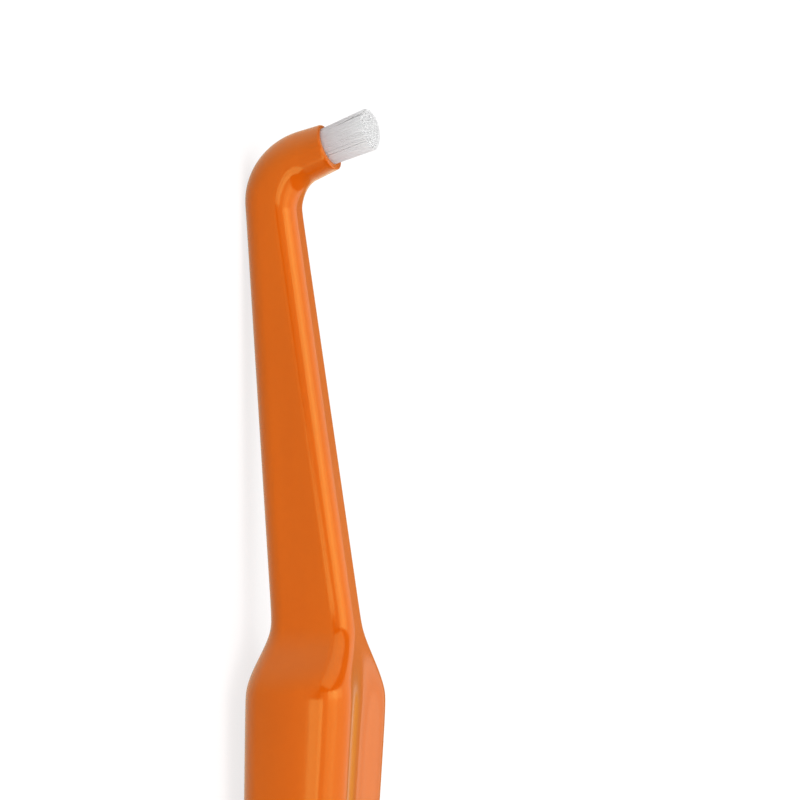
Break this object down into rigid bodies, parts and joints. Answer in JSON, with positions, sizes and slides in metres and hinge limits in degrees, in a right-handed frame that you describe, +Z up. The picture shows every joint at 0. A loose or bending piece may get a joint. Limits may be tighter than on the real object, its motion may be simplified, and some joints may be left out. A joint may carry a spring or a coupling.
{
  "type": "single tuft toothbrush",
  "caption": "Slim toothbrush with one round domed tuft in a bent, socketed head, a square neck and a wide grip with a thumb trough.",
  "frame": {"origin": "on the surface that the brush lies on, under the middle of its length and width", "axes": "+X runs along the brush towards the head, +Z is up from the surface, on the side that the tuft and the thumb trough face, and +Y is across"},
  "size_m": [0.1682, 0.0146, 0.0124],
  "materials": {
    "orange_plastic": "smooth glossy moulded polypropylene",
    "white_filament": "white nylon filaments, end-rounded",
    "anchor_metal": "plain cut strip"
  },
  "bodies": {
    "root": {"handle": "orange_plastic", "bristle_tuft": "white_filament", "anchor": "anchor_metal"}
  },
  "joints": []
}
